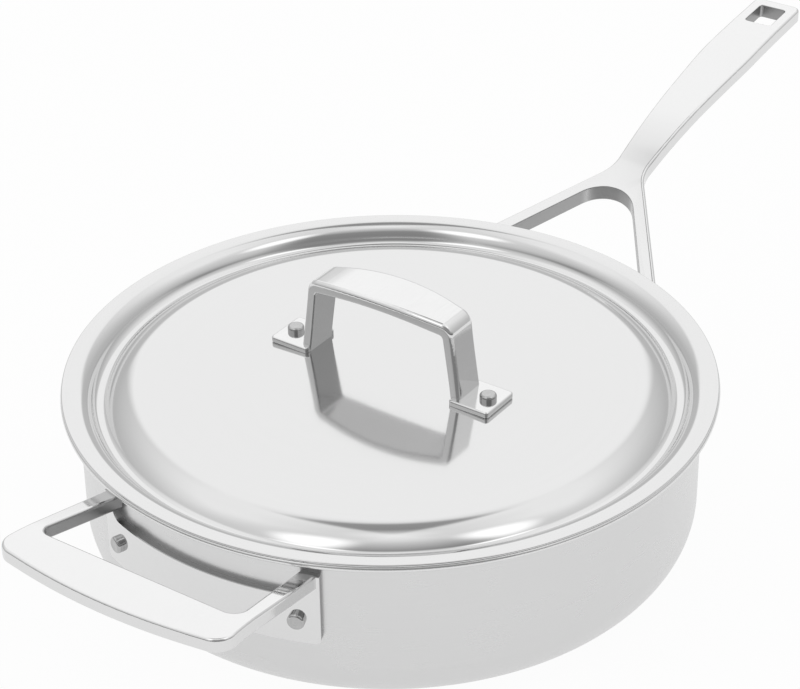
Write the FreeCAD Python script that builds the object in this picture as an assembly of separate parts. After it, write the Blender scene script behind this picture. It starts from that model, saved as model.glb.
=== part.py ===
import FreeCAD, Part
import math
import os

# Saute pan with two handles and a loose lid, in millimetres and degrees.
# The origin is the centre of the base's underside, +Z is up, the long handle points along +X,
# the helper handle along -X, and the lid's handle lies along Y.

# Clad pan body: the cooking surface and its three bonded layers
inner_radius = 121.8
rim_height = 71.7
corner_radius = 19.6
flare_radius = 5.0
rim_lip = 1.8
inner_skin_thickness = 0.4
core_thickness = 1.6
outer_skin_thickness = 0.4

# Lid pressed from one sheet: flange, step, gutter, shoulder and shallow crown
lid_sheet = 1.0
lid_setback = 0.4
flange_overlap = 4.7
flange_bend_radius = 8.4
step_angle = 65.0
step_wall = 0.4
gutter_bend_radius = 3.8
gutter_flat = 0.4
gutter_root_radius = 3.0
shoulder_radius = 20.0
crown_edge_angle = 2.6
crown_edge_drop = 0.9

# Round-headed studs that hold the handles
stud_head_diameter = 6.8
stud_head_height = 2.4
stud_head_round = 1.1
stud_shank_diameter = 4.8
stud_clearance = 0.1

# Curved plates of the two pan handles, hung below the rim
plate_thickness = 3.0
plate_drop = 18.4
plate_height = 20.4
plate_corner_radius = 2.0

# Long handle: two arms that meet in a neck, then a flat grip; lengths start at the pan's wall
long_plate_half_angle = 29.5
long_stud_angle = 20.0
long_thickness = 6.4
long_edge_round = 1.3
opening_edge_round = 0.5
arm_width = 6.8
arm_root_angle = 26.1
arm_rise_angle = 21.8
arm_run = 90.0
neck_bend_radius = 300.0
neck_bend_angle = 10.8
grip_run = 12.0
grip_bend_radius = 600.0
grip_bend_angle = 5.0
fork_length = 69.3
fork_round = 16.5
neck_length = 62.8
neck_half_width = 7.7
neck_round = 16.0
grip_widest_length = 150.8
grip_half_width = 12.4
grip_side_round = 250.0
tip_length = 204.6
tip_half_width = 12.0
tip_round = 4.0
hang_hole_length = 16.4
hang_hole_width = 13.4
hang_hole_round = 1.6
hang_hole_margin = 6.0

# Helper handle: a flat loop that rises a little from its plate; lengths start at the pan's wall
helper_plate_half_angle = 23.3
helper_stud_angle = 19.3
helper_thickness = 6.0
helper_edge_round = 1.2
ear_drop = 8.6
ear_angle = 2.4
ear_round = 4.8
helper_drop = 6.9
helper_rise_angle = 10.0
helper_rise_run = 30.0
helper_bend_radius = 120.0
helper_level_angle = 1.5
helper_root_inset = 0.3
helper_root_width = 7.8
helper_spread = 4.0
helper_corner_length = 50.2
helper_corner_round = 8.0
helper_bow = 4.2
window_length = 34.1
window_inset = 7.0
window_round = 5.0

# Lid handle: a bowed strap bridge on two flat feet
foot_reach = 52.4
foot_half_width = 9.7
foot_thickness = 2.5
foot_round = 1.6
foot_under_round = 0.5
lid_stud_reach = 46.6
leg_root_reach = 38.2
leg_lean_angle = 7.6
leg_thickness = 4.4
leg_half_width = 8.5
bar_height = 33.1
bar_arch = 2.8
bar_thickness = 4.5
bar_outer_round = 6.0
bar_inner_round = 2.2
bar_end_half_width = 7.6
bar_half_width = 10.2
bar_brow_round = 2.0
bar_edge_round = 0.8

# Closer than this, two edges or lengths count as the same
touch_distance = 0.02

# Values that follow from the sizes above
wall_thickness = inner_skin_thickness + core_thickness + outer_skin_thickness
wall_radius = inner_radius + wall_thickness
flare_centre = wall_radius + flare_radius
flare_start = rim_height - wall_thickness - flare_radius
rim_radius = flare_centre + rim_lip
plate_radius = wall_radius + plate_thickness
plate_top = rim_height - plate_drop
stud_level = plate_top - plate_height / 2
arm_root_x = plate_radius * math.cos(math.radians(arm_root_angle))
arm_root_y = plate_radius * math.sin(math.radians(arm_root_angle))
lid_radius = rim_radius - lid_setback
flange_flat_radius = inner_radius + flange_overlap
flange_top = rim_height + lid_sheet
step_turn = math.radians(step_angle)
step_bends = flange_bend_radius + gutter_bend_radius
step_run = step_bends * math.sin(step_turn) + step_wall * math.cos(step_turn)
gutter_depth = step_bends * (1 - math.cos(step_turn)) + step_wall * math.sin(step_turn)
crown_turn = math.radians(crown_edge_angle)
shoulder_span = gutter_root_radius + shoulder_radius
shoulder_drop = gutter_depth - crown_edge_drop
shoulder_rest = gutter_root_radius + shoulder_radius * math.cos(crown_turn) - shoulder_drop
shoulder_turn = math.acos(shoulder_rest / shoulder_span)
shoulder_run = shoulder_span * math.sin(shoulder_turn) - shoulder_radius * math.sin(crown_turn)
crown_edge_radius = flange_flat_radius - step_run - gutter_flat - shoulder_run
crown_radius = crown_edge_radius / math.sin(crown_turn)
crown_top = flange_top - crown_edge_drop + crown_edge_radius * math.tan(crown_turn / 2)
foot_seat = crown_top - crown_radius + math.sqrt(crown_radius ** 2 - lid_stud_reach ** 2)
foot_top = foot_seat + foot_thickness
stud_clear_radius = stud_shank_diameter / 2 + stud_clearance


def on_side(x, z):
    """Point in the XZ plane."""
    return FreeCAD.Vector(x, 0, z)


def on_plan(x, y):
    """Point in the XY plane."""
    return FreeCAD.Vector(x, y, 0)


def walk(start, heading, moves, shift=0.0):
    """Edges in the XZ plane along straights (length,) and turns (radius, angle), moved left by shift.

    A positive angle turns left. A turn keeps its centre, so lines with other shifts run parallel.
    """
    x, z = start
    angle = math.radians(heading)
    edges = []

    def shifted(px, pz, direction):
        return on_side(px - shift * math.sin(direction), pz + shift * math.cos(direction))

    for move in moves:
        begin = shifted(x, z, angle)
        if len(move) == 1:
            x += move[0] * math.cos(angle)
            z += move[0] * math.sin(angle)
            edges.append(Part.LineSegment(begin, shifted(x, z, angle)).toShape())
        else:
            radius = math.copysign(move[0], move[1])
            turn = math.radians(move[1])
            centre_x = x - radius * math.sin(angle)
            centre_z = z + radius * math.cos(angle)
            points = []
            for part in (0.5, 1.0):
                direction = angle + part * turn
                x = centre_x + radius * math.sin(direction)
                z = centre_z - radius * math.cos(direction)
                points.append(shifted(x, z, direction))
            angle += turn
            edges.append(Part.Arc(begin, points[0], points[1]).toShape())
    return edges


def first_point(edges):
    return edges[0].firstVertex(True).Point


def last_point(edges):
    return edges[-1].lastVertex(True).Point


def closed_face(edges):
    return Part.Face(Part.Wire(Part.sortEdges(edges)[0]))


def band(upper, lower):
    """Face between two walked lines, closed by a straight edge at each end."""
    ends = [
        Part.LineSegment(first_point(upper), first_point(lower)).toShape(),
        Part.LineSegment(last_point(upper), last_point(lower)).toShape(),
    ]
    return closed_face(upper + lower + ends)


def rounded(corners):
    """Face in the XY plane through corners (x, y, radius), each rounded by its radius or square at 0."""
    points = [on_plan(x, y) for x, y, radius in corners]
    arcs = []
    for index, corner in enumerate(corners):
        point = points[index]
        back = (points[index - 1] - point).normalize()
        ahead = (points[(index + 1) % len(points)] - point).normalize()
        half = back.getAngle(ahead) / 2
        middle = (back + ahead).normalize()
        radius = corner[2]
        tangent = radius / math.tan(half)
        crest = point + middle * (radius / math.sin(half) - radius)
        arcs.append((point + back * tangent, crest, point + ahead * tangent))
    edges = []
    for index, arc in enumerate(arcs):
        if corners[index][2] > 0:
            edges.append(Part.Arc(*arc).toShape())
        edges.append(Part.LineSegment(arc[2], arcs[(index + 1) % len(arcs)][0]).toShape())
    return closed_face(edges)


def arch_round(half_span, rise):
    """Radius of an arch of about the given rise, tangent to the two lines that meet at twice that rise."""
    tangent_share = 0.75
    return tangent_share * half_span / math.tan(math.atan(2 * rise / half_span))


def mirrored(half):
    """Corners of one side followed by the same corners on the other side of the X axis."""
    return half + [(x, -y, radius) for x, y, radius in reversed(half)]


def across(half, middle):
    """Corners from one end to the other of an outline that is alike on both sides of the Y axis."""
    return half + [middle] + [(-x, y, radius) for x, y, radius in reversed(half)]


def prism(corners, bottom, top):
    """Upright solid between two heights over a rounded outline."""
    face = rounded(corners)
    face.translate(FreeCAD.Vector(0, 0, bottom))
    return face.extrude(FreeCAD.Vector(0, 0, top - bottom))


def sideways(face, half_width):
    """Solid made by carrying an XZ face the same distance to both sides."""
    face.translate(FreeCAD.Vector(0, -half_width, 0))
    return face.extrude(FreeCAD.Vector(0, 2 * half_width, 0))


def turned(face):
    """Solid of revolution of an XZ face about the pan's axis."""
    return face.revolve(FreeCAD.Vector(0, 0, 0), FreeCAD.Vector(0, 0, 1), 360)


def about_axis(shape, angle):
    return shape.rotated(FreeCAD.Vector(0, 0, 0), FreeCAD.Vector(0, 0, 1), angle)


def soften(shape, edges, radius, room):
    """Round some edges of a shape, no further than the room that the wall beside them gives."""
    return shape.makeFillet(min(radius, room), edges)


def edges_beside(shape, space):
    """Edges of a shape whose middle lies on or in a space."""
    chosen = []
    for edge in shape.Edges:
        middle = Part.Vertex(edge.valueAt(sum(edge.ParameterRange) / 2))
        if space.distToShape(middle)[0] < touch_distance:
            chosen.append(edge)
    return chosen


def save(shape, node):
    shape.exportStep("parts/" + node + ".step")


# Pan body

def pan_line(depth):
    """Line of the pan's wall at a depth below the cooking surface, from the axis to the round rim."""
    half = wall_thickness / 2
    rim_end = rim_radius - half + math.sqrt(max(half ** 2 - (depth - half) ** 2, 0.0))
    moves = [
        (inner_radius - corner_radius,),
        (corner_radius, 90.0),
        (flare_start - wall_thickness - corner_radius,),
        (flare_radius + wall_thickness, -90.0),
        (rim_end - flare_centre,),
    ]
    return walk((0.0, wall_thickness), 0.0, moves, -depth)


def pan_layer(upper_depth, lower_depth):
    """One bonded layer between two depths, with its share of the round rim."""
    upper = pan_line(upper_depth)
    lower = pan_line(lower_depth)
    crest = last_point(pan_line((upper_depth + lower_depth) / 2))
    rim = Part.Arc(last_point(upper), crest, last_point(lower)).toShape()
    axis = Part.LineSegment(first_point(upper), first_point(lower)).toShape()
    return turned(closed_face(upper + lower + [rim, axis]))


def pan_space():
    """Everything inside the pan's outer surface, which the handles and studs stop at."""
    outer = pan_line(wall_thickness)
    edge = last_point(outer)
    above = on_side(edge.x, flange_top)
    centre = on_side(0.0, flange_top)
    closing = [
        Part.LineSegment(edge, above).toShape(),
        Part.LineSegment(above, centre).toShape(),
        Part.LineSegment(centre, first_point(outer)).toShape(),
    ]
    return turned(closed_face(outer + closing))


# Plates and studs on the pan's wall

def wall_sector(inside, outside, bottom, top, half_angle):
    """Upright curved plate centred on +X."""
    corners = [
        on_side(inside, bottom),
        on_side(outside, bottom),
        on_side(outside, top),
        on_side(inside, top),
    ]
    face = Part.Face(Part.makePolygon(corners + corners[:1]))
    sector = face.revolve(FreeCAD.Vector(0, 0, 0), FreeCAD.Vector(0, 0, 1), 2 * half_angle)
    return about_axis(sector, -half_angle)


def radial_edges(shape):
    """Short straight edges that run through a curved plate at its corners."""
    return [
        edge for edge in shape.Edges
        if isinstance(edge.Curve, Part.Line) and abs(edge.Length - plate_thickness) < touch_distance
    ]


def wall_plate(half_angle):
    plate = wall_sector(wall_radius, plate_radius, plate_top - plate_height, plate_top, half_angle)
    return plate.makeFillet(plate_corner_radius, radial_edges(plate))


def wall_pin(radius, start, length, angle):
    """Cylinder that points straight out of the wall."""
    pin = Part.makeCylinder(radius, length, on_side(start, stud_level), FreeCAD.Vector(1, 0, 0))
    return about_axis(pin, angle)


def stud_holes(angle):
    reach = 2 * plate_thickness
    start = wall_radius - plate_thickness
    return [wall_pin(stud_clear_radius, start, reach, turn) for turn in (angle, -angle)]


def round_head(radius, height, centre, direction):
    """Stud head with a rounded rim, lengthened below so that its seat can be cut to the plate."""
    head = Part.makeCylinder(radius, height, centre, direction)
    crown = [edge for edge in head.Edges if isinstance(edge.Curve, Part.Circle)]
    top = max(crown, key=lambda edge: edge.CenterOfMass.dot(direction))
    return soften(head, [top], stud_head_round, stud_head_height / 2)


def wall_stud(angle, space):
    """Stud welded to the wall, through the plate, with its head seated on the plate."""
    bury = plate_thickness
    head = round_head(
        stud_head_diameter / 2,
        stud_head_height + bury,
        on_side(plate_radius - bury, stud_level),
        FreeCAD.Vector(1, 0, 0),
    )
    head = head.cut(Part.makeCylinder(plate_radius, rim_height))
    shank_length = plate_thickness + bury + stud_head_height / 2
    shank = wall_pin(stud_shank_diameter / 2, wall_radius - bury, shank_length, 0.0).cut(space)
    return about_axis(head.fuse(shank).removeSplitter(), angle)


# Long handle

def arm_edge(x, side):
    """Half-width at x of an arm's edge, side +1 for its outer edge and -1 for its inner one."""
    slope = arm_root_y / (wall_radius + fork_length - arm_root_x)
    half_width = arm_width / 2 * math.hypot(1, slope)
    return arm_root_y - slope * (x - arm_root_x) + side * half_width


def long_handle(space):
    start_x = wall_radius * math.cos(math.radians(long_plate_half_angle)) - plate_thickness
    start = (start_x, plate_top - math.tan(math.radians(arm_rise_angle)) * (arm_root_x - start_x))
    moves = [
        (arm_run,),
        (neck_bend_radius, -neck_bend_angle),
        (grip_run,),
        (grip_bend_radius, -grip_bend_angle),
        (tip_length - fork_length,),
    ]
    top_line = walk(start, arm_rise_angle, moves)
    under_line = walk(start, arm_rise_angle, moves, -long_thickness)
    body = sideways(band(top_line, under_line), plate_radius)
    tip = wall_radius + tip_length
    outline = [
        (start_x, arm_edge(start_x, 1), 0.0),
        (wall_radius + neck_length, neck_half_width, neck_round),
        (wall_radius + grip_widest_length, grip_half_width, grip_side_round),
        (tip, tip_half_width, tip_round),
    ]
    body = body.common(prism(mirrored(outline), 0.0, tip))
    rims = [edge for edge in body.Edges if edge.BoundBox.XMax > start_x + touch_distance]
    body = soften(body, rims, long_edge_round, arm_width / 3)
    window_x = start_x - arm_width
    window_y = arm_edge(window_x, -1)
    fork_x = window_x + window_y * (arm_root_x - window_x) / (window_y - arm_edge(arm_root_x, -1))
    window = [(fork_x, 0.0, fork_round), (window_x, -window_y, 0.0), (window_x, window_y, 0.0)]
    hole = [
        (tip - hang_hole_margin, hang_hole_width / 2, hang_hole_round),
        (tip - hang_hole_margin - hang_hole_length, hang_hole_width / 2, hang_hole_round),
    ]
    openings = Part.makeCompound([prism(window, 0.0, tip), prism(mirrored(hole), 0.0, tip)])
    body = body.cut(openings)
    rims = [edge for edge in edges_beside(body, openings) if edge.BoundBox.XMax > start_x + touch_distance]
    body = soften(body, rims, opening_edge_round, long_thickness / 3)
    body = body.cut(space).fuse(wall_plate(long_plate_half_angle)).removeSplitter()
    return body.cut(stud_holes(long_stud_angle))


# Helper handle

def helper_handle(space):
    """Built towards +X and then turned to the other side of the pan."""
    half_angle = math.radians(helper_plate_half_angle)
    start_x = wall_radius * math.cos(half_angle) - plate_thickness
    root_height = rim_height - helper_drop
    start = (start_x, root_height - math.tan(math.radians(helper_rise_angle)) * (wall_radius - start_x))
    moves = [
        (wall_radius - start_x + helper_rise_run,),
        (helper_bend_radius, helper_level_angle - helper_rise_angle),
        (helper_corner_length,),
    ]
    top_line = walk(start, helper_rise_angle, moves)
    under_line = walk(start, helper_rise_angle, moves, -helper_thickness)
    root_half_width = wall_radius * math.sin(half_angle) - helper_root_inset
    corner_half_width = root_half_width + helper_spread
    corner_x = wall_radius + helper_corner_length
    outline = [
        (start_x, root_half_width, 0.0),
        (corner_x, corner_half_width, helper_corner_round),
        (corner_x + 2 * helper_bow, 0.0, arch_round(corner_half_width, helper_bow)),
        (corner_x, -corner_half_width, helper_corner_round),
        (start_x, -root_half_width, 0.0),
    ]
    window = [
        (start_x - plate_thickness, root_half_width - helper_root_width, 0.0),
        (wall_radius + window_length, corner_half_width - window_inset, window_round),
    ]
    body = sideways(band(top_line, under_line), 2 * corner_half_width)
    body = body.common(prism(outline, 0.0, 2 * rim_height))
    body = body.cut(prism(mirrored(window), 0.0, 2 * rim_height))
    body = soften(body, body.Edges, helper_edge_round, helper_thickness / 3)
    ear_bottom = plate_top - plate_height + plate_corner_radius
    ear_top = rim_height - ear_drop
    ear = wall_sector(wall_radius, plate_radius, ear_bottom, ear_top, ear_angle / 2)
    ear_turn = helper_plate_half_angle - ear_angle / 2
    ears = [about_axis(ear, turn) for turn in (ear_turn, -ear_turn)]
    plate = wall_plate(helper_plate_half_angle).fuse(ears).removeSplitter()
    crooks = [edge for edge in radial_edges(plate) if abs(edge.CenterOfMass.z - plate_top) < touch_distance]
    plate = soften(plate, crooks, ear_round, (ear_top - plate_top) / 2)
    body = body.fuse(plate).cut(space).removeSplitter()
    return about_axis(body.cut(stud_holes(helper_stud_angle)), 180)


# Lid

def lid_moves():
    """Turns and straights of the lid's upper face, from the flange's edge in to the axis."""
    shoulder_angle = math.degrees(shoulder_turn)
    return [
        (lid_radius - lid_sheet / 2 - flange_flat_radius,),
        (flange_bend_radius, step_angle),
        (step_wall,),
        (gutter_bend_radius, -step_angle),
        (gutter_flat,),
        (gutter_root_radius, -shoulder_angle),
        (shoulder_radius, shoulder_angle - crown_edge_angle),
        (crown_radius, crown_edge_angle),
    ]


def lid_line(depth):
    return walk((lid_radius - lid_sheet / 2, flange_top), 180.0, lid_moves(), depth)


def lid_shell():
    upper = lid_line(0.0)
    lower = lid_line(lid_sheet)
    crest = on_side(lid_radius, flange_top - lid_sheet / 2)
    edge = Part.Arc(first_point(upper), crest, first_point(lower)).toShape()
    axis = Part.LineSegment(last_point(upper), last_point(lower)).toShape()
    return turned(closed_face(upper + lower + [edge, axis]))


def lid_space():
    """Everything under the lid's upper face, which the lid's handle and studs stop at."""
    upper = lid_line(0.0)
    outer = first_point(upper)
    below = on_side(outer.x, 0.0)
    centre = on_side(0.0, 0.0)
    closing = [
        Part.LineSegment(outer, below).toShape(),
        Part.LineSegment(below, centre).toShape(),
        Part.LineSegment(centre, last_point(upper)).toShape(),
    ]
    return turned(closed_face(upper + closing))


# Lid handle

def bridge_faces():
    """Side view of the bridge and of the finger gap under it, both standing inside the feet."""
    lean = math.tan(math.radians(leg_lean_angle))
    leg_across = leg_thickness / math.cos(math.radians(leg_lean_angle))
    buried = foot_seat - foot_thickness
    bar_top = crown_top + bar_height
    faces = []
    for reach, top, corner_round in (
        (leg_root_reach, bar_top, bar_outer_round),
        (leg_root_reach - leg_across, bar_top - bar_thickness, bar_inner_round),
    ):
        foot = reach + lean * (foot_top - buried)
        span = reach - lean * (top - foot_top)
        crest = (0.0, top + 2 * bar_arch, arch_round(span, bar_arch))
        face = rounded(across([(foot, buried, 0.0), (span, top, corner_round)], crest))
        faces.append(face.rotated(FreeCAD.Vector(0, 0, 0), FreeCAD.Vector(1, 0, 0), 90))
    return faces


def bridge_plan():
    """Outline of the bridge from above: straight legs and a bar that swells to its middle."""
    swell = bar_half_width - bar_end_half_width
    leg = (leg_root_reach + leg_thickness, leg_half_width, 0.0)
    bar_end_reach = leg_root_reach - leg_thickness
    bar_end = (bar_end_reach, bar_end_half_width, leg_thickness)
    middle = (0.0, bar_end_half_width + 2 * swell, arch_round(bar_end_reach, swell))
    return mirrored(across([leg, bar_end], middle))


def bridge_edges(bridge, gap, beside_gap):
    """Edges of the bridge above its feet, either those beside the finger gap or the others."""
    chosen = []
    for edge in bridge.Edges:
        middle = edge.valueAt(sum(edge.ParameterRange) / 2)
        touches_gap = gap.isInside(middle, touch_distance, True)
        if edge.BoundBox.ZMax > foot_top and touches_gap == beside_gap:
            chosen.append(edge)
    return chosen


def foot_plan(inset):
    """Outline of a foot from above, from its outer end to the leg's inner face, drawn in by an inset."""
    lean = math.radians(leg_lean_angle)
    inner_end = leg_root_reach - leg_thickness / math.cos(lean) + foot_thickness * math.tan(lean)
    half_width = foot_half_width - inset
    ends = (foot_reach - inset, inner_end + inset)
    return mirrored([(end, half_width, foot_round) for end in ends])


def lid_handle(space):
    """Bridge and feet built along X, cut to the lid's crown and turned to lie along Y."""
    tall = 2 * rim_height
    block, gap = [sideways(face, foot_half_width + bar_half_width) for face in bridge_faces()]
    bridge = block.cut(gap).common(prism(bridge_plan(), 0.0, tall))
    bridge = soften(bridge, bridge_edges(bridge, gap, False), bar_brow_round, leg_thickness / 2)
    bridge = soften(bridge, bridge_edges(bridge, gap, True), bar_edge_round, leg_thickness / 3)
    foot = prism(foot_plan(0.0), foot_seat, foot_top)
    brow = [edge for edge in foot.Edges if edge.BoundBox.ZMin > foot_seat + touch_distance]
    foot = soften(foot, brow, bar_edge_round, foot_thickness / 3)
    under = [edge for edge in foot.Edges if edge.BoundBox.ZMax < foot_seat + touch_distance]
    foot = soften(foot, under, foot_under_round, foot_thickness / 3)
    pad_top = foot_top - foot_thickness / 2
    foot = foot.fuse(prism(foot_plan(foot_under_round), foot_seat - foot_thickness, pad_top))
    hole = Part.makeCylinder(stud_clear_radius, tall, on_side(lid_stud_reach, 0.0))
    feet = [about_axis(foot, turn) for turn in (0, 180)]
    holes = [about_axis(hole, turn) for turn in (0, 180)]
    handle = bridge.fuse(feet).cut(holes).cut(space)
    return about_axis(handle.removeSplitter(), 90)


def lid_stud(angle, space):
    """Stud welded to the lid, through a foot of its handle."""
    up = FreeCAD.Vector(0, 0, 1)
    head = round_head(stud_head_diameter / 2, stud_head_height, on_side(lid_stud_reach, foot_top), up)
    shank = Part.makeCylinder(
        stud_shank_diameter / 2,
        2 * foot_thickness + stud_head_height / 2,
        on_side(lid_stud_reach, foot_seat - foot_thickness),
    )
    return about_axis(head.fuse(shank.cut(space)).removeSplitter(), angle)


os.makedirs("parts", exist_ok=True)

core_depth = inner_skin_thickness + core_thickness
save(pan_layer(0.0, inner_skin_thickness), "inner_steel_skin")
save(pan_layer(inner_skin_thickness, core_depth), "aluminium_core")
save(pan_layer(core_depth, wall_thickness), "outer_steel_skin")

inside_pan = pan_space()
save(long_handle(inside_pan), "long_handle")
save(wall_stud(long_stud_angle, inside_pan), "long_handle_stud_left")
save(wall_stud(-long_stud_angle, inside_pan), "long_handle_stud_right")
save(helper_handle(inside_pan), "helper_handle")
save(wall_stud(180 - helper_stud_angle, inside_pan), "helper_stud_left")
save(wall_stud(180 + helper_stud_angle, inside_pan), "helper_stud_right")

under_lid = lid_space()
save(lid_shell(), "lid_shell")
save(lid_handle(under_lid), "lid_handle")
save(lid_stud(90, under_lid), "lid_stud_left")
save(lid_stud(-90, under_lid), "lid_stud_right")
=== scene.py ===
import math

import bpy
import numpy as np
from mathutils import Matrix, Vector


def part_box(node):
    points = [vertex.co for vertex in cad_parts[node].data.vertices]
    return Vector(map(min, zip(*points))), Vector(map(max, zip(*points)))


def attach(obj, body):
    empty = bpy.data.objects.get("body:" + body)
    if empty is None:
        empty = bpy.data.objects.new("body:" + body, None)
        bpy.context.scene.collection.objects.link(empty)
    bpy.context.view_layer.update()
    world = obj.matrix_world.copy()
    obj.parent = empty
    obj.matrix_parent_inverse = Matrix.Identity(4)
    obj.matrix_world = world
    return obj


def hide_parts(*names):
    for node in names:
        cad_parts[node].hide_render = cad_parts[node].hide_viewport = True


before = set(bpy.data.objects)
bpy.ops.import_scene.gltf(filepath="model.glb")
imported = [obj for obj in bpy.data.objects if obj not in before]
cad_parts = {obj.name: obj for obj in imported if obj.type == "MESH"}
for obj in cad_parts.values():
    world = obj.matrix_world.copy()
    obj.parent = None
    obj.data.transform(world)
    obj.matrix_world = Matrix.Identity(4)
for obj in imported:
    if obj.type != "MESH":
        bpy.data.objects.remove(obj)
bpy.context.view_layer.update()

# Saute pan with two handles and a loose lid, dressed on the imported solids.
# Metres; +Z is up, the long handle points along +X and the lid's handle lies along Y.
MM = 0.001
QUARTER = math.pi / 2
LEVEL = (1.0, 1.0, 0.0)


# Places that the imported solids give

def reach(solid):
    """Radius of a turned solid: the smaller of its box's reaches, so that nothing stands out of it."""
    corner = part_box(solid)[1]
    return min(corner.x, corner.y)


RIM_RADIUS = reach("aluminium_core")
RIM_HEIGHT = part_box("inner_steel_skin")[1].z
LID_RADIUS = reach("lid_shell")
LID_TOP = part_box("lid_shell")[1].z
WALL_STUD_HEIGHT = sum(corner.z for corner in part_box("helper_stud_left")) / 2
LID_STUD_REACH = sum(corner.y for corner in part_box("lid_stud_left")) / 2
LID_STUD_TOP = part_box("lid_stud_left")[1].z
FLOOR_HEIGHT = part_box("outer_steel_skin")[0].z

# Clad wall of the pan
SKIN = 0.4 * MM
CORE = 1.6 * MM
WALL = 2 * SKIN + CORE
BASE_CORNER = 19.6 * MM
FLARE = 5.0 * MM
RIM_LIP = 1.8 * MM

# Pressed lid, from its crown out to its flange
LID_SHEET = 1.0 * MM
CROWN_TURN = math.radians(2.6)
CROWN_EDGE_DROP = 0.9 * MM
SHOULDER_ROUND = 20.0 * MM
GUTTER_ROOT = 3.0 * MM
GUTTER_FLAT = 0.4 * MM
GUTTER_BEND = 3.8 * MM
STEP_TURN = math.radians(65.0)
STEP_WALL = 0.4 * MM
FLANGE_BEND = 8.4 * MM
FLANGE_FLAT = 126.5 * MM

# Studs
HEAD_RADIUS = 3.4 * MM
HEAD_HEIGHT = 2.4 * MM
HEAD_ROUND = 1.1 * MM
HEAD_DISH = 0.12 * MM
SHANK_RADIUS = 2.4 * MM
SHANK_LENGTH = 3.0 * MM
PLATE_THICKNESS = 3.0 * MM
PLATE_RADIUS = RIM_RADIUS - RIM_LIP - FLARE + PLATE_THICKNESS
HELPER_STUD_TURN = math.radians(19.3)
LONG_STUD_TURN = math.radians(20.0)

# Faces of the castings in the handles' openings and against the wall, darkened by a painted shade and given a
# duller roughness for their unpolished finish: the depth under a plate's face at which its ledge starts, and
# its fade; and the parts of the normal between which a face inside an opening fades in
LEDGE_DEPTH = 0.3 * MM
LEDGE_FADE = 0.5 * MM
NO_LEDGE = 0.0
OPENING_FADE = (-0.5, -0.9)

# Marks in the metals, with the levels at which they reach their dark and pale colour, and blotches of uneven
# gloss, with the levels at which the two together reach the lowest and highest roughness
MARK_DETAIL = 3.0
MARK_LEVELS = (0.3, 0.7)
CLOUD_SIZE = 18 * MM
CLOUD_DETAIL = 2.0
GLOSS_LEVELS = (0.12, 0.4)

# Shading of the handles' solids
WELD_DISTANCE = 0.001 * MM
HARD_EDGE_TURN = math.radians(30.0)
FLAT_FACE_WEIGHT = 100

# Fineness of the turned surfaces
TURN_STEP = math.radians(4.0)
FEWEST_STEPS = 8
PAN_SIDES = 480
STUD_SIDES = 72

# Photograph's camera
IMAGE_WIDTH = 800
FOCAL_PIXELS = 2507.73
SENSOR_WIDTH = 36.0
VIEW_TURN = math.radians(-54.8418)
VIEW_RISE = math.radians(31.3663)
VIEW_ROLL = math.radians(-0.78553)
VIEW_DISTANCE = 1.0
VIEW_TARGET = Vector((6.7663, -0.2398, 81.5613)) * MM

# Softboxes: name, turn from the camera's side, rise, width and height in degrees, and tone
SOFTBOXES = (
    ("left_softbox", -44.0, 59.0, 27.0, 34.0, 0.6),
    ("right_softbox", 61.0, 59.0, 24.0, 32.0, 0.6),
)
LAMP_DISTANCE = 3.0
# Middle of a softbox's cloth, in shares of its sides, and the shares from there between which it brightens
# from nothing to full
CLOTH_MIDDLE = (0.5, 0.5, 0.0)
CLOTH_FADE = (0.5, 0.2)

# Room that the metal mirrors: greys at degrees of rise
FAR_WALLS = ((0, 0.62), (14, 0.64), (30, 0.8), (52, 1.14), (63, 1.14), (80, 0.95), (90, 1.2))
NEAR_WALLS = ((0, 0.14), (9, 0.25), (20, 0.6), (32, 0.78), (60, 0.93), (80, 0.95), (90, 1.2))
WHITE_SWEEP = (
    (0, 0.67), (16, 0.67), (20, 1.18), (50, 1.18), (57, 1.06), (63, 0.4), (76, 0.34), (83, 0.66), (90, 1.2),
)
CAMERA_END = (
    (0, 0.16), (12, 0.3), (22, 0.36), (32, 0.3), (54, 0.34), (61, 0.52), (70, 0.75), (78, 1.0), (90, 1.25),
)
# Where each stands, as a turn from the camera's side, and the degrees off it between which it fades in
NEAR_WALLS_TURN = 0
NEAR_WALLS_FADE = (105, 70)
WHITE_SWEEP_TURN = 180
WHITE_SWEEP_FADE = (27, 16)
CAMERA_END_TURN = 10
CAMERA_END_FADE = (46, 22)

# Paper floor, just under the base, and the share of its white that doesn't depend on the light, as the camera
# sees it and in mirrors
FLOOR_RADIUS = 6.0
FLOOR_SIDES = 64
FLOOR_GAP = 0.05 * MM
FLOOR_GLOW = 0.95
FLOOR_GLOW_MIRRORED = 0.75


# Turned surfaces

def trace(start, moves):
    """Walks a line in the (radius, height) plane and returns its points and each step's two normals.

    Moves are straights (length,) and turns (radius, angle), left turns positive; radius 0 is a sharp
    corner. On a turn the heading a swings evenly and the point is centre + radius * (sin a, -cos a).
    The normal is the heading turned a quarter to the left.
    """
    place = np.array(start, float)
    heading = 0.0
    points, first_normals, last_normals = [place[None]], [], []
    for move in moves:
        if len(move) == 1:
            headings = np.array([heading, heading])
            line = place + move[0] * np.array([[math.cos(heading), math.sin(heading)]])
        else:
            radius, angle = move
            steps = max(FEWEST_STEPS, math.ceil(abs(angle) / TURN_STEP))
            headings = heading + np.linspace(0.0, angle, steps + 1)
            swing = np.stack([np.sin(headings), -np.cos(headings)], 1) * math.copysign(radius, angle)
            line = place + swing[1:] - swing[0]
            heading += angle
            if radius == 0:
                continue
        normals = np.stack([-np.sin(headings), np.cos(headings)], 1)
        points.append(line)
        first_normals.append(normals[:-1])
        last_normals.append(normals[1:])
        place = line[-1]
    return np.concatenate(points), np.concatenate(first_normals), np.concatenate(last_normals)


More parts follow.
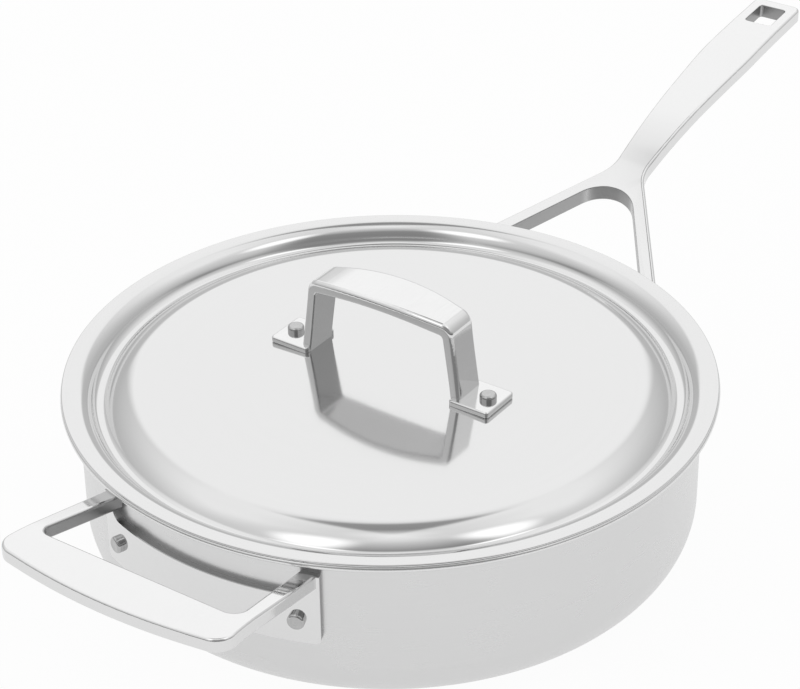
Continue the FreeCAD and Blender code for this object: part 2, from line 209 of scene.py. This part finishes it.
def doubled_back(moves, edge, thickness):
    """Moves out along one face of a sheet, round its edge and back along the other face at its thickness."""
    back = []
    for move in reversed(moves):
        if len(move) == 1:
            back.append(move)
        else:
            back.append((move[0] + math.copysign(thickness, move[1]), -move[1]))
    return moves + edge + back


def turned(points, first_normals, last_normals, sides):
    """Surface of revolution of a line that starts and ends on the axis.

    Point (i, j) is (r_i cos t_j, r_i sin t_j, z_i), with t_j even round the circle; the ends are single
    poles. Returns vertices, faces, corner normals, corner UVs (turn, length along the line) and a seamless
    grain vector (radius-free direction times the largest radius, length along the line).
    """
    angles = np.arange(sides) * 2 * math.pi / sides
    circle = np.stack([np.cos(angles), np.sin(angles)], 1)
    rings = points[1:-1]
    ring_places = np.concatenate([
        rings[:, None, :1] * circle[None],
        np.broadcast_to(rings[:, None, 1:], (len(rings), sides, 1)),
    ], 2).reshape(-1, 3)
    poles = np.array([[0.0, 0.0, points[0, 1]], [0.0, 0.0, points[-1, 1]]])
    vertices = np.concatenate([poles[:1], ring_places, poles[1:]])

    lengths = np.concatenate([[0.0], np.cumsum(np.linalg.norm(np.diff(points, axis=0), axis=1))])
    widest = points[:, 0].max()
    ring_grain = np.concatenate([
        np.broadcast_to(widest * circle[None], (len(rings), sides, 2)),
        np.broadcast_to(lengths[1:-1, None, None], (len(rings), sides, 1)),
    ], 2).reshape(-1, 3)
    pole_grain = np.array([[0.0, 0.0, lengths[0]], [0.0, 0.0, lengths[-1]]])
    grain = np.concatenate([pole_grain[:1], ring_grain, pole_grain[1:]])

    ring, side = np.meshgrid(np.arange(len(points)), np.arange(sides + 1), indexing="ij")
    number = 1 + (ring - 1) * sides + side % sides
    number[0] = 0
    number[-1] = len(vertices) - 1
    corner_ring = np.stack([ring[:-1, :-1], ring[1:, :-1], ring[1:, 1:], ring[:-1, 1:]], 2)
    corner_side = np.stack([side[:-1, :-1], side[1:, :-1], side[1:, 1:], side[:-1, 1:]], 2)
    corner_number = number[corner_ring, corner_side]
    step_normals = np.stack([first_normals, last_normals, last_normals, first_normals], 1)
    outward = np.concatenate([circle, circle[:1]])[corner_side]
    corner_normals = np.concatenate([
        step_normals[:, None, :, :1] * outward,
        np.broadcast_to(step_normals[:, None, :, 1:], outward.shape[:3] + (1,)),
    ], 3)
    corner_uvs = np.stack([corner_side / sides, lengths[corner_ring]], 3)

    blocks = [
        (slice(0, 1), [0, 1, 2]),
        (slice(1, -1), [0, 1, 2, 3]),
        (slice(len(points) - 2, None), [0, 1, 3]),
    ]
    faces, normals, uvs = [], [], []
    for steps, corners in blocks:
        faces += corner_number[steps][:, :, corners].reshape(-1, len(corners)).tolist()
        normals.append(corner_normals[steps][:, :, corners].reshape(-1, 3))
        uvs.append(corner_uvs[steps][:, :, corners].reshape(-1, 2))
    return vertices, faces, np.concatenate(normals), np.concatenate(uvs), grain


def turned_piece(solid, body, material, line, sides, place=Matrix.Identity(4)):
    """Puts a turned surface into a mesh at its place and lets it stand for a solid."""
    vertices, faces, normals, uvs, grain = turned(*line, sides)
    turn = np.array(place.to_3x3())
    vertices = vertices @ turn.T + np.array(place.translation)
    mesh = bpy.data.meshes.new(solid + "_surface")
    mesh.from_pydata(vertices.tolist(), [], faces)
    mesh.polygons.foreach_set("use_smooth", np.ones(len(faces), bool))
    mesh.uv_layers.new(name="turn").data.foreach_set("uv", uvs.ravel())
    mesh.attributes.new("grain", "FLOAT_VECTOR", "POINT").data.foreach_set("vector", grain.ravel())
    mesh.materials.append(material)
    mesh.normals_split_custom_set((normals @ turn.T).tolist())
    piece = bpy.data.objects.new(solid + "_surface", mesh)
    bpy.context.scene.collection.objects.link(piece)
    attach(piece, body)
    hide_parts(solid)
    return piece


def layer_line(upper, lower):
    """Section of one bonded layer between two depths under the cooking surface, with its share of the rim."""
    half = WALL / 2
    inner_radius = RIM_RADIUS - RIM_LIP - FLARE - WALL
    flare_end = RIM_RADIUS - RIM_LIP
    angle_at = [math.asin(np.clip((half - depth) / half, -1.0, 1.0)) for depth in (upper, lower)]
    rim_end = [RIM_RADIUS - half + half * math.cos(angle) for angle in angle_at]

    def out(depth, end):
        return [
            (inner_radius - BASE_CORNER,),
            (BASE_CORNER + depth, QUARTER),
            (RIM_HEIGHT - 2 * WALL - FLARE - BASE_CORNER,),
            (FLARE + WALL - depth, -QUARTER),
            (end - flare_end,),
        ]

    under = reversed(out(lower, rim_end[1]))
    back = [(move[0],) if len(move) == 1 else (move[0], -move[1]) for move in under]
    rim = [
        (0.0, angle_at[0] - QUARTER),
        (half, angle_at[1] - angle_at[0]),
        (0.0, -QUARTER - angle_at[1]),
    ]
    return trace((0.0, WALL - upper), out(upper, rim_end[0]) + rim + back)


def lid_line():
    """Section of the pressed lid: crown, shoulder, gutter, step and flange, then back along the underside."""
    bends = FLANGE_BEND + GUTTER_BEND
    step_run = bends * math.sin(STEP_TURN) + STEP_WALL * math.cos(STEP_TURN)
    gutter_depth = bends * (1 - math.cos(STEP_TURN)) + STEP_WALL * math.sin(STEP_TURN)
    span = GUTTER_ROOT + SHOULDER_ROUND
    rest = GUTTER_ROOT + SHOULDER_ROUND * math.cos(CROWN_TURN) - gutter_depth + CROWN_EDGE_DROP
    tilt = math.acos(rest / span)
    shoulder_run = span * math.sin(tilt) - SHOULDER_ROUND * math.sin(CROWN_TURN)
    crown_round = (FLANGE_FLAT - step_run - GUTTER_FLAT - shoulder_run) / math.sin(CROWN_TURN)
    moves = [
        (crown_round, -CROWN_TURN),
        (SHOULDER_ROUND, CROWN_TURN - tilt),
        (GUTTER_ROOT, tilt),
        (GUTTER_FLAT,),
        (GUTTER_BEND, STEP_TURN),
        (STEP_WALL,),
        (FLANGE_BEND, -STEP_TURN),
        (LID_RADIUS - LID_SHEET / 2 - FLANGE_FLAT,),
    ]
    return trace((0.0, LID_TOP), doubled_back(moves, [(LID_SHEET / 2, -math.pi)], LID_SHEET))


def stud_line(shank_length):
    """Section of a stud with its seat at height 0: a dished top in a rounded rim, the head and the shank."""
    flat = HEAD_RADIUS - HEAD_ROUND
    dish = math.atan(HEAD_DISH / flat)
    moves = [
        (0.0, dish),
        (math.hypot(flat, HEAD_DISH),),
        (0.0, -dish),
        (HEAD_ROUND, -QUARTER),
        (HEAD_HEIGHT - HEAD_ROUND,),
        (0.0, -QUARTER),
        (HEAD_RADIUS - SHANK_RADIUS,),
        (0.0, QUARTER),
        (shank_length,),
        (0.0, -QUARTER),
        (SHANK_RADIUS,),
    ]
    return trace((0.0, HEAD_HEIGHT - HEAD_DISH), moves)


# Materials

def linear(code):
    """Linear colour of an sRGB hex value."""
    parts = [int(code[i:i + 2], 16) / 255 for i in (1, 3, 5)]
    return [p / 12.92 if p <= 0.04045 else ((p + 0.055) / 1.055) ** 2.4 for p in parts] + [1.0]


def node(tree, kind, values=None, links=None, **settings):
    """Adds a node with its settings, its sockets' values and its links from other sockets."""
    made = tree.nodes.new(kind)
    for name, value in settings.items():
        setattr(made, name, value)
    for name, value in (values or {}).items():
        made.inputs[name].default_value = value
    for name, socket in (links or {}).items():
        tree.links.new(socket, made.inputs[name])
    return made


def new_tree(name):
    """New material and its node tree, emptied."""
    material = bpy.data.materials.new(name)
    material.use_nodes = True
    material.node_tree.nodes.clear()
    return material, material.node_tree


def painted_shade_and_unpolished_faces(tree, ledge_radius):
    """Mask for painted shade and duller, unpolished roughness in the handles' openings and against the wall.

    Upright faces inside a handle's openings look back at the pan's middle: there the lower of the normal's
    two level parts, each taken along its own axis away from the middle, is negative. A plate's ledge and
    ends lie against the wall, inside the ledge's radius. The mask is the higher of the two.
    """
    place = node(tree, "ShaderNodeTexCoord").outputs["Object"]
    facing = node(tree, "ShaderNodeNewGeometry").outputs["Normal"]
    side = node(tree, "ShaderNodeVectorMath", links={0: place}, operation="SIGN").outputs["Vector"]
    outward = node(tree, "ShaderNodeVectorMath", links={0: facing, 1: side}, operation="MULTIPLY")
    parts = node(tree, "ShaderNodeSeparateXYZ", links={0: outward.outputs["Vector"]}).outputs
    least = node(tree, "ShaderNodeMath", links={0: parts["X"], 1: parts["Y"]}, operation="MINIMUM")
    opening = node(
        tree, "ShaderNodeMapRange",
        {"From Min": OPENING_FADE[0], "From Max": OPENING_FADE[1]},
        {"Value": least.outputs["Value"]},
        interpolation_type="SMOOTHSTEP",
    ).outputs["Result"]
    level = node(tree, "ShaderNodeVectorMath", {1: LEVEL}, {0: place}, operation="MULTIPLY")
    radius = node(tree, "ShaderNodeVectorMath", links={0: level.outputs["Vector"]}, operation="LENGTH")
    ledge = node(
        tree, "ShaderNodeMapRange",
        {"From Min": ledge_radius, "From Max": ledge_radius - LEDGE_FADE},
        {"Value": radius.outputs["Value"]},
        interpolation_type="SMOOTHSTEP",
    ).outputs["Result"]
    return node(tree, "ShaderNodeMath", links={0: opening, 1: ledge}, operation="MAXIMUM").outputs["Value"]


def steel(name, pale, dark, gloss, marks, relief, cast_and_painted_shade=None):
    """Polished or brushed metal with fine marks that run one way.

    pale and dark are its colours between the marks and in them, gloss its lowest and highest roughness, marks
    their length and width, relief their depth. They run round a turned piece. A casting has them along X; its
    last argument gives the grey painted as shade and the duller roughness of the faces in its openings and on
    its ledge against the wall, and the radius of that ledge. The marks are drawn wider than real ones, which
    are too fine for the render.
    """
    material, tree = new_tree(name)
    if cast_and_painted_shade:
        place = node(tree, "ShaderNodeTexCoord").outputs["Object"]
        spacing = (marks[0], marks[1], marks[1])
    else:
        place = node(tree, "ShaderNodeAttribute", attribute_name="grain").outputs["Vector"]
        spacing = (marks[0], marks[0], marks[1])
    stretched = node(
        tree, "ShaderNodeMapping",
        {"Scale": [1 / size for size in spacing]},
        {"Vector": place},
    )
    lines = node(
        tree, "ShaderNodeTexNoise",
        {"Scale": 1.0, "Detail": MARK_DETAIL},
        {"Vector": stretched.outputs["Vector"]},
    )
    clouds = node(
        tree, "ShaderNodeTexNoise",
        {"Scale": 1 / CLOUD_SIZE, "Detail": CLOUD_DETAIL},
        {"Vector": place},
    )
    colour = node(tree, "ShaderNodeValToRGB", links={"Fac": lines.outputs["Fac"]})
    for stop, shade, code in zip(colour.color_ramp.elements, MARK_LEVELS, (dark, pale)):
        stop.position = shade
        stop.color = linear(code)
    mixed = node(
        tree, "ShaderNodeMath",
        links={0: lines.outputs["Fac"], 1: clouds.outputs["Fac"]},
        operation="MULTIPLY",
    )
    rough = node(
        tree, "ShaderNodeMapRange",
        {"From Min": GLOSS_LEVELS[0], "From Max": GLOSS_LEVELS[1], "To Min": gloss[0], "To Max": gloss[1]},
        {"Value": mixed.outputs["Value"]},
    )
    tint = colour.outputs["Color"]
    sheen = rough.outputs["Result"]
    # Painted shade: a darker grey in the casting's openings and on its ledges against the wall, with a duller
    # roughness there
    if cast_and_painted_shade:
        mask = painted_shade_and_unpolished_faces(tree, cast_and_painted_shade[2])
        dull = node(tree, "ShaderNodeMix", {"B": cast_and_painted_shade[1]}, {"Factor": mask, "A": sheen})
        sheen = dull.outputs["Result"]
        grey = node(tree, "ShaderNodeMixRGB", {"Color2": linear(cast_and_painted_shade[0])}, {"Fac": mask, "Color1": tint})
        tint = grey.outputs["Color"]
    bump = node(
        tree, "ShaderNodeBump",
        {"Strength": 1.0, "Distance": relief},
        {"Height": lines.outputs["Fac"]},
    )
    shader = node(
        tree, "ShaderNodeBsdfPrincipled",
        {"Metallic": 1.0},
        {
            "Base Color": tint,
            "Roughness": sheen,
            "Normal": bump.outputs["Normal"],
        },
    )
    node(tree, "ShaderNodeOutputMaterial", links={"Surface": shader.outputs["BSDF"]})
    return material


# Satin stainless steel, brushed round the wall: an even grey with a soft, wide sheen
wall_steel = steel(
    "satin_brushed_stainless_steel", "#DCDCDC", "#DBDBDB", (0.27, 0.30), (60 * MM, 0.8 * MM), 0.00003 * MM,
)
# Satin stainless steel of the cooking surface, spun a little coarser
cooking_steel = steel(
    "spun_stainless_steel", "#DCDCDC", "#D6D6D6", (0.25, 0.30), (40 * MM, 0.5 * MM), 0.0003 * MM,
)
# Aluminium, only seen as a line in the round rim, where it is polished with the skins
core_aluminium = steel(
    "polished_aluminium", "#E6E6E6", "#E1E1E1", (0.18, 0.24), (12 * MM, 0.3 * MM), 0.0003 * MM,
)
# Mirror-polished stainless steel: sharp reflections, with the faintest rings from the wheel
lid_steel = steel(
    "mirror_polished_stainless_steel", "#D9D9D9", "#D8D8D8", (0.08, 0.1), (90 * MM, 0.8 * MM), 0.00004 * MM,
)
# Cast stainless steel, polished outside: bright even faces with thin dark edges; in its openings and on the
# ledges against the wall a painted shade makes it greyer, and the unpolished casting is duller there
handle_steel = steel(
    "polished_cast_stainless_steel", "#E2E2E2", "#E0E0E0", (0.07, 0.11), (12 * MM, 0.4 * MM), 0.00005 * MM,
    # Grey painted as shade in the openings and on the ledges, their duller roughness, and the ledge's radius
    ("#A4A4A4", 0.35, PLATE_RADIUS - LEDGE_DEPTH),
)
# Same casting in the lid's handle, with a lighter painted shade inside and a less dull finish there, where a
# hand can polish it
bridge_steel = steel(
    "hand_polished_cast_stainless_steel", "#E2E2E2", "#DFDFDF", (0.07, 0.1), (8 * MM, 0.6 * MM), 0.00003 * MM,
    # Grey painted as shade inside the opening, its roughness, and no ledge
    ("#B4B4B4", 0.2, NO_LEDGE),
)
# Turned stainless steel of the studs: greyer, with fine rings on the head
stud_steel = steel(
    "turned_stainless_steel", "#C0C0C0", "#B0B0B0", (0.09, 0.15), (4 * MM, 0.18 * MM), 0.0005 * MM,
)

# Pieces that stand for the turned solids

turned_piece("inner_steel_skin", "pan", cooking_steel, layer_line(0.0, SKIN), PAN_SIDES)
turned_piece(
    "aluminium_core", "pan", core_aluminium, layer_line(SKIN, SKIN + CORE), PAN_SIDES,
)
turned_piece("outer_steel_skin", "pan", wall_steel, layer_line(SKIN + CORE, WALL), PAN_SIDES)
turned_piece("lid_shell", "lid", lid_steel, lid_line(), PAN_SIDES)

wall_stud = stud_line(SHANK_LENGTH)
for stud, turn in (
    ("helper_stud_left", math.pi - HELPER_STUD_TURN),
    ("helper_stud_right", math.pi + HELPER_STUD_TURN),
    ("long_handle_stud_left", LONG_STUD_TURN),
    ("long_handle_stud_right", -LONG_STUD_TURN),
):
    outwards = Matrix.Rotation(turn, 4, "Z") @ Matrix.Rotation(QUARTER, 4, "Y")
    seat = Matrix.Translation(Vector((math.cos(turn), math.sin(turn), 0.0)) * PLATE_RADIUS)
    lift = Matrix.Translation(Vector((0.0, 0.0, WALL_STUD_HEIGHT)))
    turned_piece(stud, "pan", stud_steel, wall_stud, STUD_SIDES, lift @ seat @ outwards)

lid_stud_seat = LID_STUD_TOP - HEAD_HEIGHT
lid_stud = stud_line(lid_stud_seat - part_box("lid_stud_left")[0].z)
for stud, side in (("lid_stud_left", 1), ("lid_stud_right", -1)):
    place = Matrix.Translation(Vector((0.0, side * LID_STUD_REACH, lid_stud_seat)))
    turned_piece(stud, "lid", stud_steel, lid_stud, STUD_SIDES, place)


# Handles, which keep their solids

def smooth_shading(angle):
    """Geometry nodes that weld a solid's loose triangles and leave only edges sharper than the angle hard."""
    tree = bpy.data.node_groups.new("soft_edges", "GeometryNodeTree")
    tree.interface.new_socket("Geometry", in_out="INPUT", socket_type="NodeSocketGeometry")
    tree.interface.new_socket("Geometry", in_out="OUTPUT", socket_type="NodeSocketGeometry")
    source = node(tree, "NodeGroupInput")
    weld = node(
        tree, "GeometryNodeMergeByDistance",
        {"Distance": WELD_DISTANCE},
        {"Geometry": source.outputs["Geometry"]},
    )
    bend = node(tree, "GeometryNodeInputMeshEdgeAngle")
    gentle = node(
        tree, "FunctionNodeCompare",
        {"B": angle},
        {"A": bend.outputs["Unsigned Angle"]},
        data_type="FLOAT", operation="LESS_THAN",
    )
    faces = node(
        tree, "GeometryNodeSetShadeSmooth",
        links={"Geometry": weld.outputs["Geometry"]},
        domain="FACE",
    )
    edges = node(
        tree, "GeometryNodeSetShadeSmooth",
        links={"Geometry": faces.outputs["Geometry"], "Shade Smooth": gentle.outputs["Result"]},
        domain="EDGE",
    )
    node(tree, "NodeGroupOutput", links={"Geometry": edges.outputs["Geometry"]})
    return tree


soft_edges = smooth_shading(HARD_EDGE_TURN)
for handle, finish in (
    ("long_handle", handle_steel),
    ("helper_handle", handle_steel),
    ("lid_handle", bridge_steel),
):
    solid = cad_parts[handle]
    solid.material_slots[0].material = finish
    solid.modifiers.new("soft_edges", "NODES").node_group = soft_edges
    weighted = solid.modifiers.new("flat_faces_lead", "WEIGHTED_NORMAL")
    weighted.mode = "FACE_AREA"
    weighted.weight = FLAT_FACE_WEIGHT
    weighted.keep_sharp = True


# Camera

back = Vector((
    math.sin(VIEW_TURN) * math.cos(VIEW_RISE),
    -math.cos(VIEW_TURN) * math.cos(VIEW_RISE),
    math.sin(VIEW_RISE),
))
level_right = Vector((math.cos(VIEW_TURN), math.sin(VIEW_TURN), 0.0))
level_up = back.cross(level_right)
right = level_right * math.cos(VIEW_ROLL) + level_up * math.sin(VIEW_ROLL)
up = level_up * math.cos(VIEW_ROLL) - level_right * math.sin(VIEW_ROLL)
camera_data = bpy.data.cameras.new("camera")
camera_data.sensor_fit = "HORIZONTAL"
camera_data.sensor_width = SENSOR_WIDTH
camera_data.lens = SENSOR_WIDTH * FOCAL_PIXELS / IMAGE_WIDTH
camera = bpy.data.objects.new("camera", camera_data)
camera.matrix_world = Matrix.Translation(VIEW_TARGET + back * VIEW_DISTANCE) @ Matrix(
    (right, up, back)
).transposed().to_4x4()
bpy.context.scene.collection.objects.link(camera)
bpy.context.scene.camera = camera


# Studio

def softbox(name, side, rise, width, height, tone):
    """Rectangular soft lamp that faces the pan, turned sideways from the camera and raised above the floor.

    Its width and height are angles seen from the pan. Its tone is what its middle adds to the grey of the
    room in a mirror, and its cloth fades to nothing at the edges.
    """
    turn = VIEW_TURN + math.radians(side)
    lift = math.radians(rise)
    lamp = bpy.data.lights.new(name, "AREA")
    lamp.shape = "RECTANGLE"
    lamp.size = 2 * LAMP_DISTANCE * math.tan(math.radians(width) / 2)
    lamp.size_y = 2 * LAMP_DISTANCE * math.tan(math.radians(height) / 2)
    lamp.energy = math.pi * lamp.size * lamp.size_y * tone
    lamp.use_nodes = True
    cloth = lamp.node_tree
    cloth.nodes.clear()
    spot = node(cloth, "ShaderNodeNewGeometry").outputs["Parametric"]
    centred = node(cloth, "ShaderNodeVectorMath", {1: CLOTH_MIDDLE}, {0: spot}, operation="SUBTRACT")
    off_centre = node(cloth, "ShaderNodeVectorMath", links={0: centred.outputs["Vector"]}, operation="LENGTH")
    glow = node(
        cloth, "ShaderNodeMapRange",
        {"From Min": CLOTH_FADE[0], "From Max": CLOTH_FADE[1]},
        {"Value": off_centre.outputs["Value"]},
        interpolation_type="SMOOTHSTEP",
    )
    light = node(
        cloth, "ShaderNodeEmission",
        {"Color": linear("#FFFFFF")},
        {"Strength": glow.outputs["Result"]},
    )
    node(cloth, "ShaderNodeOutputLight", links={"Surface": light.outputs["Emission"]})
    holder = bpy.data.objects.new(name, lamp)
    away = Vector((math.sin(turn) * math.cos(lift), -math.cos(turn) * math.cos(lift), math.sin(lift)))
    holder.location = VIEW_TARGET + away * LAMP_DISTANCE
    holder.rotation_mode = "QUATERNION"
    holder.rotation_quaternion = (-away).to_track_quat("-Z", "Y")
    bpy.context.scene.collection.objects.link(holder)


for box in SOFTBOXES:
    softbox(*box)

world = bpy.data.worlds.new("studio")
world.use_nodes = True
room = world.node_tree
room.nodes.clear()
direction = node(room, "ShaderNodeTexCoord").outputs["Generated"]
height = node(room, "ShaderNodeSeparateXYZ", links={"Vector": direction}).outputs["Z"]
rise = node(room, "ShaderNodeMath", links={0: height}, operation="ARCSINE").outputs["Value"]
share_of_quarter = node(room, "ShaderNodeMath", {1: QUARTER}, {0: rise}, operation="DIVIDE").outputs["Value"]
level = node(room, "ShaderNodeVectorMath", {1: LEVEL}, {0: direction}, operation="MULTIPLY")
level = node(room, "ShaderNodeVectorMath", links={0: level.outputs["Vector"]}, operation="NORMALIZE")


def nearness(side):
    """Cosine of the turn between a direction and one that is turned sideways from the camera."""
    turn = VIEW_TURN + math.radians(side)
    return node(
        room, "ShaderNodeVectorMath",
        {1: (math.sin(turn), -math.cos(turn), 0.0)},
        {0: level.outputs["Vector"]},
        operation="DOT_PRODUCT",
    ).outputs["Value"]


def tones_by_rise(stops):
    """Grey of the room by the rise of the direction, as (degrees, grey) stops."""
    ramp = node(room, "ShaderNodeValToRGB", links={"Fac": share_of_quarter})
    elements = ramp.color_ramp.elements
    while len(elements) < len(stops):
        elements.new(1.0)
    for element, (degrees, grey) in zip(elements, stops):
        element.position = math.radians(degrees) / QUARTER
        element.color = (grey, grey, grey, 1.0)
    return ramp.outputs["Color"]


def blend(turn, fade, first, second):
    """Passes from one tone to another as a direction nears a turn from the camera, between two angles."""
    share = node(
        room, "ShaderNodeMapRange",
        {"From Min": math.cos(math.radians(fade[0])), "From Max": math.cos(math.radians(fade[1]))},
        {"Value": nearness(turn)},
        interpolation_type="SMOOTHSTEP",
    )
    return node(
        room, "ShaderNodeMix",
        links={"Factor": share.outputs["Result"], "A": first, "B": second},
    ).outputs["Result"]


tones = tones_by_rise(FAR_WALLS)
for turn, fade, stops in (
    (NEAR_WALLS_TURN, NEAR_WALLS_FADE, NEAR_WALLS),
    (WHITE_SWEEP_TURN, WHITE_SWEEP_FADE, WHITE_SWEEP),
    (CAMERA_END_TURN, CAMERA_END_FADE, CAMERA_END),
):
    tones = blend(turn, fade, tones, tones_by_rise(stops))
seen = node(room, "ShaderNodeLightPath")
lit_room = node(room, "ShaderNodeBackground", {"Strength": 1.0}, {"Color": tones})
white = node(room, "ShaderNodeBackground", {"Color": linear("#FFFFFF"), "Strength": 1.0})
shown = node(
    room, "ShaderNodeMixShader",
    links={
        0: seen.outputs["Is Camera Ray"],
        1: lit_room.outputs["Background"],
        2: white.outputs["Background"],
    },
)
node(room, "ShaderNodeOutputWorld", links={"Surface": shown.outputs["Shader"]})
bpy.context.scene.world = world


def paper_floor(radius, sides):
    """Flat disc under the pan: points at even angles round a circle, joined to its centre."""
    angles = np.arange(sides) * 2 * math.pi / sides
    height = FLOOR_HEIGHT - FLOOR_GAP
    rim = np.stack([radius * np.cos(angles), radius * np.sin(angles), np.full(sides, height)], 1)
    vertices = np.concatenate([rim, [[0.0, 0.0, height]]])
    numbers = np.arange(sides)
    faces = np.stack([numbers, (numbers + 1) % sides, np.full(sides, sides)], 1)
    mesh = bpy.data.meshes.new("paper_floor")
    mesh.from_pydata(vertices.tolist(), [], faces.tolist())
    floor = bpy.data.objects.new("paper_floor", mesh)
    bpy.context.scene.collection.objects.link(floor)
    material, tree = new_tree("white_paper")
    matt = node(tree, "ShaderNodeBsdfDiffuse", {"Color": linear("#F6F6F6")})
    glow = node(tree, "ShaderNodeEmission", {"Color": linear("#FFFFFF"), "Strength": 1.0})
    path = node(tree, "ShaderNodeLightPath")
    mirrored = node(
        tree, "ShaderNodeMath",
        {1: FLOOR_GLOW_MIRRORED},
        {0: path.outputs["Is Glossy Ray"]},
        operation="MULTIPLY",
    )
    share = node(
        tree, "ShaderNodeMath",
        {1: FLOOR_GLOW},
        {0: path.outputs["Is Camera Ray"], 2: mirrored.outputs["Value"]},
        operation="MULTIPLY_ADD",
    )
    surface = node(
        tree, "ShaderNodeMixShader",
        links={0: share.outputs["Value"], 1: matt.outputs["BSDF"], 2: glow.outputs["Emission"]},
    )
    node(tree, "ShaderNodeOutputMaterial", links={"Surface": surface.outputs["Shader"]})
    mesh.materials.append(material)


paper_floor(FLOOR_RADIUS, FLOOR_SIDES)

bpy.context.scene.view_settings.view_transform = "Standard"
